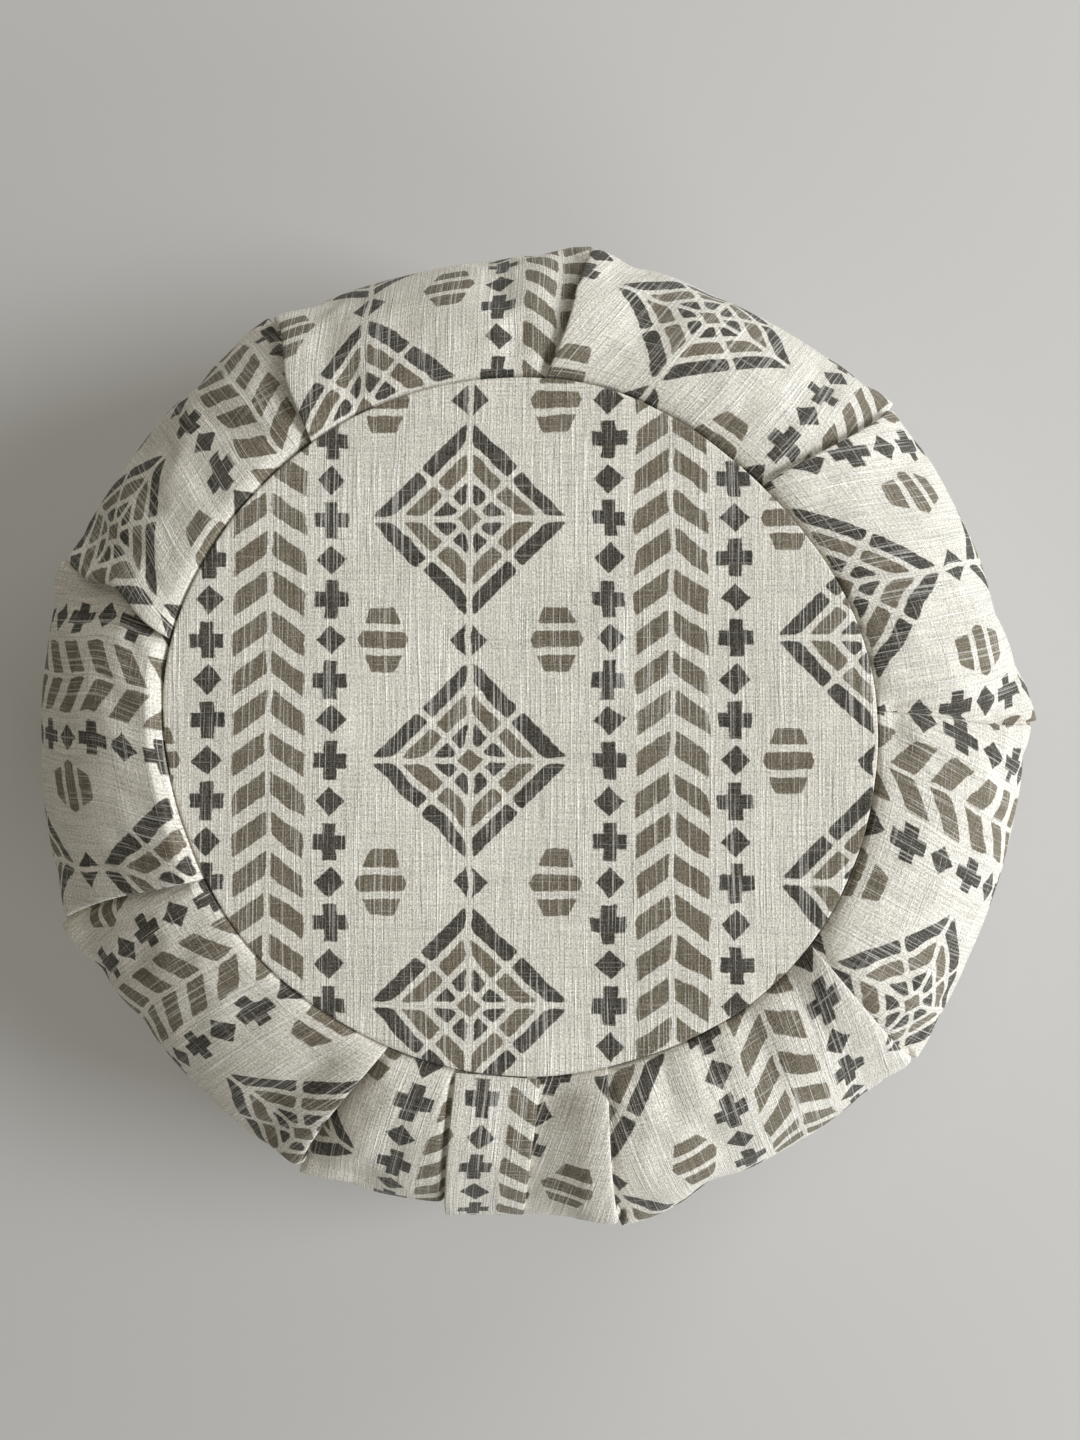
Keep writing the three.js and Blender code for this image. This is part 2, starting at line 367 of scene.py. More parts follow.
# Small gathers that run out from the seams, and slack troughs further down: the panel they are in,
# their place across it (0 to 1), where they start and end along it (mm from the seam), how much they
# lean, and their width and depth (mm). A depth below zero is a soft ridge.
CREASES = [
    dict(panel=0, across=0.62, start=0, end=26, lean=0.05, wide=5, deep=0.9),
    dict(panel=0, across=0.20, start=30, end=64, lean=-0.35, wide=8, deep=0.9),
    dict(panel=0, across=0.02, start=28, end=76, lean=0.10, wide=2.5, deep=0.9),
    dict(panel=0, across=0.02, start=32, end=66, lean=0.26, wide=3, deep=0.7),
    dict(panel=1, across=0.30, start=0, end=30, lean=-0.06, wide=5, deep=0.8),
    dict(panel=1, across=0.72, start=10, end=60, lean=0.10, wide=9, deep=0.9),
    dict(panel=2, across=0.16, start=0, end=24, lean=0.08, wide=5, deep=1.1),
    dict(panel=2, across=0.80, start=0, end=22, lean=-0.05, wide=4, deep=0.9),
    dict(panel=3, across=0.45, start=0, end=34, lean=0.05, wide=6, deep=0.9),
    dict(panel=3, across=0.86, start=20, end=70, lean=0.20, wide=9, deep=1.4),
    dict(panel=4, across=0.35, start=0, end=22, lean=0.02, wide=6, deep=0.8),
    dict(panel=4, across=0.12, start=20, end=66, lean=-0.25, wide=9, deep=1.3),
    dict(panel=4, across=0.03, start=14, end=74, lean=0.12, wide=3, deep=-1.6),
    dict(panel=4, across=0.06, start=0, end=12, lean=0.4, wide=3.5, deep=-1.6),
    dict(panel=5, across=0.55, start=0, end=26, lean=0.0, wide=5, deep=0.9),
    dict(panel=5, across=0.02, start=26, end=96, lean=0.05, wide=2.6, deep=-1.3),
    dict(panel=6, across=0.78, start=0, end=20, lean=0.06, wide=5, deep=0.8),
    dict(panel=7, across=0.42, start=0, end=28, lean=0.10, wide=4, deep=1.9),
    dict(panel=7, across=0.62, start=0, end=38, lean=0.02, wide=4.5, deep=2.1),
    dict(panel=7, across=0.24, start=0, end=26, lean=0.04, wide=4, deep=1.5),
    dict(panel=7, across=0.84, start=0, end=30, lean=0.04, wide=4, deep=1.2),
    dict(panel=8, across=0.85, start=0, end=40, lean=-0.10, wide=7, deep=1.2),
    dict(panel=8, across=0.93, start=0, end=12, lean=-0.10, wide=8, deep=1.8),
    dict(panel=8, across=0.98, start=34, end=80, lean=-0.12, wide=3, deep=0.8),
]


SEAM_RIDGE = 4.5
SEAM_DIP = 1.4
SLACK_LENGTH = 70.0


def cloth_height(i, share, beside_fold):
    """How far the cloth of panel i stands off the smooth band, in the open or under the next fold."""
    width = widths[i]
    side = share * width
    swell = np.clip(np.sin(math.pi * np.clip(share, 0, 1)), 0, 1)
    rise = PUFF * swell * np.sin(math.pi * row_share) ** 0.5
    after = next_pleat(i)
    rise = rise + edge_proud(after) * np.exp(-(np.maximum(width - side, 0) / 11) ** 2)
    if beside_fold:
        past = np.maximum(side - lays[i][0][-1], 0)
        level = edge_proud(i) + lays[i][1][-1 - UNDERLAP]
        rise = rise + level * np.exp(-(past / 13) ** 2)
        rise = rise + SHOULDER * opened ** 3 * np.exp(-(past / 28) ** 2)
        rise = rise - sunk * PLEATS[i]["sink"] * np.exp(-(past / 9) ** 2)
        rise = rise - tucked * PLEATS[i]["gap"] * np.exp(-(past / 2) ** 2)
    for pleat, away in ((PLEATS[i], side), (PLEATS[after], width - side)):
        rolled_in = np.minimum(1, seam_distance / 6) * (1 - opened ** 2)
        rise = rise - pleat["soft"] * np.exp(-(away / 6) ** 2) * rolled_in
    ridge = np.minimum(seam_distance / SEAM_RIDGE, np.exp(-(seam_distance - SEAM_RIDGE) / 16))
    rise = rise + PLEATS[i]["lip"] * ridge
    if beside_fold:
        rise = rise + (PLEATS[i - 1]["lip"] - PLEATS[i]["lip"]) * ridge * np.exp(-(past / 6) ** 2)
    hollow = np.sin(math.pi * np.minimum(1, seam_distance / SLACK_LENGTH))
    rise = rise - along_seam(i, share, "slack") * hollow
    rise = rise - SEAM_DIP * np.exp(-(seam_distance / 0.55) ** 1.5)
    if i == STRAP_PANEL:
        beside = side - strap_side
        valley = ease(beside, -0.4, 1.6) * (0.55 + 0.45 * np.clip(beside / 28, 0, 1))
        valley = valley * (1 - np.clip((beside - 27) / 25, 0, 1)) ** 1.7
        groove = np.exp(-((beside + 0.7) / 1.0) ** 2)
        pressed = STRAP_PRESS * valley * (1 - ease(belly_share, 0.3, 0.62)) + GROOVE * groove
        rise = rise - pressed * np.minimum(1, seam_distance / 8)
    for crease in CREASES:
        if crease["panel"] == i:
            middle = crease["across"] * width + crease["lean"] * seam_distance
            gone = np.clip((seam_distance - crease["start"]) / (crease["end"] - crease["start"]), 0, 1)
            fade = np.sin(math.pi * np.clip(gone * 0.85 + 0.15, 0, 1)) * (gone < 1)
            rise = rise - crease["deep"] * fade * np.exp(-((side - middle) / crease["wide"]) ** 2)
    return rise


def billow(place):
    """The slow unevenness of stuffed cloth."""
    rise = np.empty(len(place))
    for k, spot in enumerate(place):
        spot = Vector(spot)
        rise[k] = 0.8 * noise.noise(spot / 52) + 0.35 * noise.noise(spot / 21 + Vector((7, 3, 1)))
    return rise


# The strip's columns in the order they are sewn: for each its place on the band, how far it stands off
# it, where it lies across the cut cloth, and how firmly it is held while the band is filled.
columns, cloth_across, hold = [], [], []
cut_middle = np.cumsum([0] + [(cut_width[i - 1] + cut_width[i]) / 2 for i in range(1, count)])
wrap_cut = (cut_width[-1] + cut_width[0]) / 2


def cloth_through(i):
    """How far along the cut cloth each step of pleat i lies; what the fold hides is all in its legs."""
    side, down = lays[i]
    steps = np.hypot(np.diff(side, axis=0), np.diff(down, axis=0))
    before = (i - 1) % count
    start = cut_middle[i - 1] + widths[before] / 2 if i else widths[before] / 2 - wrap_cut
    end = cut_middle[i] - widths[i] / 2 + side[-1]
    legs = slice(ROLL_TURN, ROLL_TURN + 2 * LEG_HALF)
    hidden = end - start - steps.sum(axis=0) + steps[legs].sum(axis=0)
    steps[legs] = np.maximum(hidden, 0.2) / (2 * LEG_HALF)
    path = np.concatenate([np.zeros((1, len(turn))), np.cumsum(steps, axis=0)])
    return start + (end - start) * path / path[-1]


def lay_pleat(i, low, high):
    """The columns of pleat i from step low to step high of its path."""
    before = (i - 1) % count
    side, down = lays[i]
    once_round = cut_middle[-1] + wrap_cut if i == 0 and low == 0 else 0
    for k in range(low, high):
        under = side[k] < 0
        gone_back, gone_on = side[k] / widths[before], side[k] / widths[i]
        angle = folds[i] + np.where(under, gone_back * spans[before], gone_on * spans[i])
        place_before, normal_before = band_place(before, 1 + gone_back, turn, angle)
        place_here, normal_here = band_place(i, gone_on, turn, angle)
        place = np.where(under[:, None], place_before, place_here)
        normal = np.where(under[:, None], normal_before, normal_here)
        share_under = np.where(under, 1 + gone_back, 1.0)
        columns.append((place, normal, cloth_height(before, share_under, False) + down[k]))
        cloth_across.append(cut_places[i][k] + once_round)
        hold.append(np.ones_like(side[k]))


def open_side(i, k, emerge):
    """How far column k of the open cloth of panel i lies from the panel's own fold, row by row."""
    if k < len(BESIDE_FOLD):
        return emerge + BESIDE_FOLD[k]
    start, end, first, last = emerge + BESIDE_FOLD[-1], widths[i], len(BESIDE_FOLD) - 1, OPEN_CLOTH
    if i == STRAP_PANEL:
        groove = STRAP_COLUMN - len(BESIDE_STRAP) + 1
        if groove <= k <= STRAP_COLUMN:
            return strap_side + BESIDE_STRAP[k - groove]
        if k < groove:
            end, last = strap_side + BESIDE_STRAP[0], groove
        else:
            start, first = strap_side + BESIDE_STRAP[-1], STRAP_COLUMN
    gone = (k - first) / (last - first)
    if i != STRAP_PANEL:
        gone -= 0.045 * math.sin(2 * math.pi * gone)
    return start + (end - start) * gone


# The strip starts and ends in the hidden leg of the first pleat, where its short seam lies.
cut_places = [cloth_through(i) for i in range(count)]
mid_leg = ROLL_TURN + LEG_HALF
last_step = ROLL_TURN + 2 * LEG_HALF + BACK_TURN + UNDERLAP
for i in range(count):
    lay_pleat(i, mid_leg, last_step)
    emerge = lays[i][0][-1]
    for k in range(OPEN_CLOTH):
        side = open_side(i, k, emerge)
        share = side / widths[i]
        angle = folds[i] + share * spans[i]
        place, normal = band_place(i, share, turn, angle)
        columns.append((place, normal, cloth_height(i, share, True)))
        cloth_across.append(cut_middle[i] - widths[i] / 2 + side)
        from_edge = np.minimum(side - emerge, widths[i] - side)
        if i == STRAP_PANEL:
            from_strap = np.abs(side - strap_side - PRESSED_MIDDLE) - PRESSED_HALF
            from_edge = np.minimum(from_edge, from_strap).clip(0)
        hold.append(np.exp(-(from_edge / 7) ** 2))
    lay_pleat(next_pleat(i), 0, mid_leg + (1 if i == count - 1 else 0))

across_count, row_count = len(columns), len(turn)
smooth_place, outward, lift = (np.stack(part) for part in zip(*columns))
rough = billow(smooth_place.reshape(-1, 3)).reshape(lift.shape)
lift = lift + rough * np.minimum(1, seam_distance / 14)
FLOOR_GAP = 0.4
cloth_place = smooth_place + outward * lift[..., None]
cloth_place[..., 2] = np.maximum(cloth_place[..., 2], FLOOR_GAP)

shape = bmesh.new()
bmesh.ops.create_grid(shape, x_segments=across_count - 1, y_segments=row_count - 1, size=0.5)
strip_uv = shape.loops.layers.uv.new("cloth")
held_layer = shape.verts.layers.deform.verify()
cloth_down = STRIP_LENGTH * row_share
for vertex in shape.verts:
    column = round((vertex.co.x + 0.5) * (across_count - 1))
    row = round((0.5 - vertex.co.y) * (row_count - 1))
    for loop in vertex.link_loops:
        loop[strip_uv].uv = (cloth_across[column][row] * MM, -cloth_down[row] * MM)
    seam_hold = math.exp(-((seam_distance[row] / 9) ** 2))
    vertex[held_layer][0] = min(1.0, max(hold[column][row], seam_hold))
    vertex.co = Vector(cloth_place[column][row]) * MM
bmesh.ops.remove_doubles(shape, verts=shape.verts, dist=0.00002)
shape.normal_update()
band_heart = Vector((0, 0, BELLY_HEIGHT * MM))
if sum(face.normal.dot(face.calc_center_median() - band_heart) for face in shape.faces) < 0:
    bmesh.ops.reverse_faces(shape, faces=shape.faces)
strip = plain_mesh("laid_strip", shape)


def stuffed(piece, frames, pressure, slack, most):
    """Presses the piece out as its filling does, with no point moved further than most (mm)."""
    laid = np.empty(len(piece.data.vertices) * 3)
    piece.data.vertices.foreach_get("co", laid)
    filling = piece.modifiers.new("filling", "CLOTH")
    cloth = filling.settings
    cloth.quality = 6
    cloth.mass = 0.25
    cloth.tension_stiffness = cloth.compression_stiffness = 18
    cloth.shear_stiffness = 6
    cloth.bending_stiffness = 0.6
    cloth.tension_damping = cloth.compression_damping = cloth.shear_damping = 12
    cloth.air_damping = 3
    cloth.use_pressure = True
    cloth.uniform_pressure_force = pressure
    cloth.shrink_min = -slack
    cloth.vertex_group_mass = "held"
    cloth.pin_stiffness = 4
    cloth.effector_weights.gravity = 0
    filling.collision_settings.use_collision = False
    filling.collision_settings.use_self_collision = False
    scene = bpy.context.scene
    filling.point_cache.frame_start, filling.point_cache.frame_end = 1, frames
    for frame_number in range(1, frames + 1):
        scene.frame_set(frame_number)
    view = bpy.context.evaluated_depsgraph_get()
    pressed = piece.evaluated_get(view).to_mesh()
    place = np.empty_like(laid)
    pressed.vertices.foreach_get("co", place)
    piece.evaluated_get(view).to_mesh_clear()
    scene.frame_set(1)
    piece.modifiers.remove(filling)
    move = (place - laid).reshape(-1, 3)
    far = np.linalg.norm(move, axis=1)
    move *= np.minimum(1, most * MM / np.maximum(far, 1e-9))[:, None]
    place = laid.reshape(-1, 3) + move
    place[:, 2] = np.maximum(place[:, 2], FLOOR_GAP * MM)
    piece.data.vertices.foreach_set("co", place.ravel())
    piece.data.update()


strip.vertex_groups.new(name="held")
stuffed(strip, frames=20, pressure=2.5, slack=0.01, most=4)
rounding = strip.modifiers.new("rounding", "SUBSURF")
rounding.levels = rounding.render_levels = 1


def finished_shape(piece):
    """A piece with its modifiers applied, as a fresh bmesh; the piece itself is then cleared away."""
    view = bpy.context.evaluated_depsgraph_get()
    mesh = bpy.data.meshes.new_from_object(piece.evaluated_get(view))
    finished = bmesh.new()
    finished.from_mesh(mesh)
    bpy.data.meshes.remove(mesh)
    bpy.data.objects.remove(piece)
    return finished


CROWN, DISH = 3.0, 3.5


def top_rise(share):
    """How far the top panel stands over its seam: a low crown, dished where it has been sat on."""
    return CROWN * (1 - share ** 2) - DISH * math.exp(-((share / 0.6) ** 2))


# The band's two open ends are closed over under the panels, by rings drawn in from each seam.
CAP_RADIUS = 120.0
CAP_DEPTH = 4.5
REST_SHARE = 0.78
shape = finished_shape(strip)
for upper in (True, False):
    ring = [e for e in shape.edges if e.is_boundary and (e.verts[0].co.z > BELLY_HEIGHT * MM) == upper]
    for ring_share in (0.93, 0.7, 0.35, 0):
        made = bmesh.ops.extrude_edge_only(shape, edges=ring)
        ring = [g for g in made["geom"] if isinstance(g, bmesh.types.BMEdge) and g.is_boundary]
        for vertex in {v for e in ring for v in e.verts}:
            out = math.atan2(vertex.co.y, vertex.co.x)
            radius = CAP_RADIUS * ring_share * MM
            if upper:
                height = SEAM_HIGH - CAP_DEPTH + top_rise(ring_share)
            else:
                height = 2.4 + SEAM_LOW * max(0, (ring_share - REST_SHARE) / (1 - REST_SHARE)) ** 2
            vertex.co = Vector((radius * math.cos(out), radius * math.sin(out), height * MM))
bmesh.ops.remove_doubles(shape, verts=shape.verts, dist=0.00001)
bmesh.ops.recalc_face_normals(shape, faces=shape.faces)
for face in shape.faces:
    face.smooth = True
side_band = plain_mesh("side_band_cover", shape)


class Span:
    """A distance on the cloth in millimetres, worked out by Math nodes as the print is set out."""

    def __init__(self, tree, value):
        self.tree, self.value = tree, value

    def by(self, operation, *others, clamp=False):
        step = self.tree.nodes.new("ShaderNodeMath")
        step.operation = operation
        step.use_clamp = clamp
        for socket, item in zip(step.inputs, (self, *others)):
            item = item.value if isinstance(item, Span) else item
            if isinstance(item, (int, float)):
                socket.default_value = item
            else:
                self.tree.links.new(item, socket)
        return Span(self.tree, step.outputs[0])

    def __add__(self, other):
        return self.by("ADD", other)

    def __sub__(self, other):
        return self.by("SUBTRACT", other)

    def __rsub__(self, other):
        return Span(self.tree, other).by("SUBTRACT", self)

    def __mul__(self, other):
        return self.by("MULTIPLY", other)

    def __abs__(self):
        return self.by("ABSOLUTE")

    def fold(self, repeat):
        """The distance to the nearest whole repeat."""
        return self.by("PINGPONG", repeat / 2)

    def least(self, other):
        return self.by("MINIMUM", other)

    def most(self, other, soft=0.0):
        return self.by("SMOOTH_MAX", other, soft) if soft else self.by("MAXIMUM", other)

    def ease(self, low, high):
        """0 below low, 1 above high."""
        step = self.tree.nodes.new("ShaderNodeMapRange")
        step.interpolation_type = "SMOOTHSTEP"
        step.inputs["From Min"].default_value = low
        step.inputs["From Max"].default_value = high
        self.tree.links.new(self.value, step.inputs["Value"])
        return Span(self.tree, step.outputs["Result"])


def new_group(name, outputs):
    """A shader node group that reads the place on the cloth, in metres, and gives the named values."""
    tree = bpy.data.node_groups.new(name, "ShaderNodeTree")
    tree.interface.new_socket("Cloth", in_out="INPUT", socket_type="NodeSocketVector")
    for output in outputs:
        tree.interface.new_socket(output, in_out="OUTPUT", socket_type="NodeSocketFloat")
    place, result = tree.nodes.new("NodeGroupInput"), tree.nodes.new("NodeGroupOutput")
    parts = tree.nodes.new("ShaderNodeSeparateXYZ")
    tree.links.new(place.outputs["Cloth"], parts.inputs[0])
    across, along = Span(tree, parts.outputs["X"]) * 1000, Span(tree, parts.outputs["Y"]) * 1000
    return tree, result, across, along


def patchy(across, along, detail=2.0, rough=0.5, shift=0.0):
    """Even noise, 0 to 1, over a place on the cloth given in patch sizes."""
    tree = across.tree
    place = tree.nodes.new("ShaderNodeCombineXYZ")
    tree.links.new(across.value, place.inputs["X"])
    tree.links.new(along.value, place.inputs["Y"])
    place.inputs["Z"].default_value = shift
    cloud = tree.nodes.new("ShaderNodeTexNoise")
    cloud.inputs["Scale"].default_value = 1.0
    cloud.inputs["Detail"].default_value = detail
    cloud.inputs["Roughness"].default_value = rough
    tree.links.new(place.outputs[0], cloud.inputs["Vector"])
    return Span(tree, cloud.outputs["Fac"])


# Plain-woven slub cotton: thick slubs run down the cloth, fewer and fainter ones run across it, over
# the finer ribs of both threads and the grain of single crossings.
slub_cloth, result, across, along = new_group(
    "slub_cotton", ["Slub", "Cross slub", "Grain", "Ribs", "Thread"]
)
drift = patchy(across * 0.02, along * 0.018, 1.0, shift=4.0)
down_thread = across + (drift - 0.5) * 2.2
cross_thread = along + (drift - 0.5) * 2.0
slub = patchy(down_thread * 1.05, along * 0.016, 1.5, shift=1.0).ease(0.58, 0.64)
thin_slub = patchy(down_thread * 1.9, along * 0.028, 1.0, shift=2.0).ease(0.60, 0.67)
cross_slub = patchy(across * 0.022, cross_thread * 1.3, 1.5, shift=3.0).ease(0.60, 0.68)
ribs = patchy(down_thread * 1.3, along * 0.035, 2.0, 0.6, shift=8.0)
cross_ribs = patchy(across * 0.04, cross_thread * 1.4, 2.0, 0.6, shift=9.0)
grain = patchy(across * 1.45, along * 1.25, 2.0, 0.8, shift=5.0)
rib_tone = ribs * 0.62 + cross_ribs * 0.38
links = slub_cloth.links
links.new(slub.most(thin_slub * 0.75).value, result.inputs["Slub"])
links.new(cross_slub.value, result.inputs["Cross slub"])
links.new(grain.value, result.inputs["Grain"])
links.new(rib_tone.value, result.inputs["Ribs"])
thread = slub * 0.9 + thin_slub * 0.6 + cross_slub * 0.6 + rib_tone * 1.6 + grain * 0.9
links.new(thread.value, result.inputs["Thread"])

# The print, in two inks: tiled lozenges in a half-drop, with barrels beside them, then a column of
# small crosses and lozenges, then a column of arrows. Each motif is a distance to its own edge in mm,
# below zero inside it. One unit of the layout is 14 mm.
UNIT = 14.0
REPEAT = 10 * UNIT
LOZENGE = 6 * UNIT
RING = 7.4
BARREL_COLUMN = 2.15 * UNIT
BARREL_BAND = 8.4
CROSS_COLUMN = 3.45 * UNIT
ARROW_COLUMN = 5 * UNIT
SLANT = 2 ** -0.5
NOT_THIS_INK = 9.0
INK_EDGE = 0.25
block_print, result, across, along = new_group("block_print", ["Light ink", "Dark ink"])

# The hand-cut blocks wander a little, and each second column drops by half a lozenge.
wobble = patchy(across * 0.36, along * 0.36, 1.5, shift=11.0)
wobble_down = patchy(across * 0.36, along * 0.36, 1.5, shift=17.0)
sway = patchy(across * 0.06, along * 0.06, 1.0, shift=13.0)
across = across + (wobble - 0.5) * 1.1 + (sway - 0.5) * 3.6
along = along + (wobble_down - 0.5) * 1.1 + (sway - 0.5) * 2.4
column = (across * (1 / REPEAT) + 0.5).by("FLOOR")
aside = abs(across - column * REPEAT)
along = along + column * (3 * UNIT)
from_heart = along.fold(LOZENGE)
from_gap = LOZENGE / 2 - from_heart

# Lozenge: rings cut into tiles along its four axes, every other ring in the other ink, round a heart.
slope = (aside + from_heart) * SLANT
gap = (1.1 - aside.least(from_heart)).most(1.0 - abs(aside - from_heart) * SLANT)
tile = ((slope + RING / 2).by("WRAP", RING, 0.0) - RING / 2).by("ABSOLUTE") - 2.6
tile = tile.most(slope - 3.5 * RING, 1.2).most(gap, 2.0)
heart = slope - 3.0
tile = tile.most(5.0 - slope).least(heart)
odd = (slope * (1 / RING) + 0.5).by("FLOOR").by("WRAP", 2.0, 0.0).by("GREATER_THAN", 0.5)
neck = ((aside + from_gap) * SLANT - 4.6).most(1.0 - aside)

# Barrel: three bands, narrower towards its ends.
from_barrel = abs(aside - BARREL_COLUMN)
barrel = ((from_gap + BARREL_BAND / 2).by("WRAP", BARREL_BAND, 0.0) - BARREL_BAND / 2).by("ABSOLUTE")
barrel = (barrel - 2.9).most((from_barrel + from_gap * 0.42 - 9.0).most(from_gap - 13), 1.2)

# Cross and small lozenge, by turns down one column.
cross_aside, cross_along = abs(aside - CROSS_COLUMN), along.fold(2 * UNIT)
upright = (cross_aside - 2.4).most(cross_along - 6.6, 0.8)
cross = upright.least((cross_aside - 6.0).most(cross_along - 2.6, 0.8))
dot = (cross_aside + (UNIT - cross_along)) * SLANT - 3.7

# Arrow: a pair of slanted bars that meet at the edge of the repeat.
edge = ARROW_COLUMN - aside
slide = along + edge * 0.7
bar = (slide.by("WRAP", UNIT, 0.0) - UNIT / 2).by("ABSOLUTE") * 0.82 - 3.4
arrow = bar.most((0.9 - edge).most(edge - 0.9 * UNIT), 1.2)

light_ink = (tile + odd * NOT_THIS_INK).least(arrow.least(barrel))
dark_ink = (tile + (1.0 - odd) * NOT_THIS_INK).least(cross.least(dot.least(neck)))
links = block_print.links
links.new((1.0 - light_ink.ease(-INK_EDGE, INK_EDGE)).value, result.inputs["Light ink"])
links.new((1.0 - dark_ink.ease(-INK_EDGE, INK_EDGE)).value, result.inputs["Dark ink"])

CREAM = linear(228, 223, 210)
SLUB_CREAM = linear(248, 245, 235)
LIGHT_INK = linear(114, 105, 86)
DARK_INK = linear(56, 52, 43)


def printed_cotton(name, cross=0.75, moved=(0.0, 0.0, 0.0)):
    """The printed slub cotton of one piece, cut at its own place on the print. Ink misses the slubs."""
    cloth = bpy.data.materials.new(name)
    cloth.use_nodes = True
    tree = cloth.node_tree
    body = tree.nodes["Principled BSDF"]
    body.inputs["Roughness"].default_value = 0.88
    body.inputs["Specular IOR Level"].default_value = 0.25
    body.inputs["Sheen Weight"].default_value = 0.12
    body.inputs["Sheen Roughness"].default_value = 0.5
    cut = tree.nodes.new("ShaderNodeUVMap")
    cut.uv_map = "cloth"
    laid = tree.nodes.new("ShaderNodeMapping")
    laid.inputs["Location"].default_value = moved
    tree.links.new(cut.outputs["UV"], laid.inputs["Vector"])
    weave, ink = tree.nodes.new("ShaderNodeGroup"), tree.nodes.new("ShaderNodeGroup")
    weave.node_tree, ink.node_tree = slub_cloth, block_print
    for group in (weave, ink):
        tree.links.new(laid.outputs["Vector"], group.inputs["Cloth"])

    def mixed(amount, under, over, mode="MIX"):
        mix = tree.nodes.new("ShaderNodeMix")
        mix.data_type, mix.blend_type = "RGBA", mode
        for socket, item in (("Factor_Float", amount), ("A_Color", under), ("B_Color", over)):
            socket = next(s for s in mix.inputs if s.identifier == socket)
            if isinstance(item, (tuple, float)):
                socket.default_value = item
            else:
                tree.links.new(item, socket)
        return next(s for s in mix.outputs if s.identifier == "Result_Color")

    slubs = Span(tree, weave.outputs["Slub"]).most(Span(tree, weave.outputs["Cross slub"]) * cross)
    grain, ribs = Span(tree, weave.outputs["Grain"]), Span(tree, weave.outputs["Ribs"])
    cover = (1.0 - slubs * 0.4) * (ribs * -0.3 + grain * -0.35 + 1.28).by("MINIMUM", 1.0)
    ground = mixed((slubs * 0.75).value, CREAM, SLUB_CREAM)
    light = mixed((Span(tree, ink.outputs["Light ink"]) * cover).value, ground, LIGHT_INK)
    dark = mixed((Span(tree, ink.outputs["Dark ink"]) * cover).value, light, DARK_INK)
    shade = (grain - 0.5) * 1.95 + (ribs - 0.5) * 1.3 + 0.975
    tone = tree.nodes.new("ShaderNodeCombineColor")
    for channel in tone.inputs:
        tree.links.new(shade.value, channel)
    tree.links.new(mixed(1.0, dark, tone.outputs[0], "MULTIPLY"), body.inputs["Base Color"])
    raised = tree.nodes.new("ShaderNodeBump")
    raised.inputs["Strength"].default_value = 0.7
    raised.inputs["Distance"].default_value = 0.00045
    tree.links.new(weave.outputs["Thread"], raised.inputs["Height"])
    tree.links.new(raised.outputs["Normal"], body.inputs["Normal"])
    return cloth


side_band.data.materials.append(printed_cotton("printed_cotton_band"))
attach(side_band, "root")
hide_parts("side_band")

# ---------------------------------------------------------------------------------------------------
# Top and bottom panels
# Two rounds of the same cotton, cut with the slubs running front to back and sewn to the band right
# sides together, so each rim rolls down into the seam. The top one lies nearly flat on the filling.
# ---------------------------------------------------------------------------------------------------
SEAM_GAP = 0.2
CLOTH = 1.6
RIM_ROLL, RIM_ROLL_WIDTH = 1.0, 0.8
ROUND_RINGS = 34
ROUND_STEPS = 180


def seam_radius(angle):
    """The radius of the seam in any direction, from the band's own pleats."""
    degrees = math.degrees(angle) % 360
    for i in range(count):
        start = PLEATS[i]["fold"]
        reach = (PLEATS[next_pleat(i)]["fold"] - start) % 360
        gone = (degrees - start) % 360
        if gone < reach:
            return float(along_seam(i, gone / reach, "seam"))
    return PLEATS[0]["seam"]


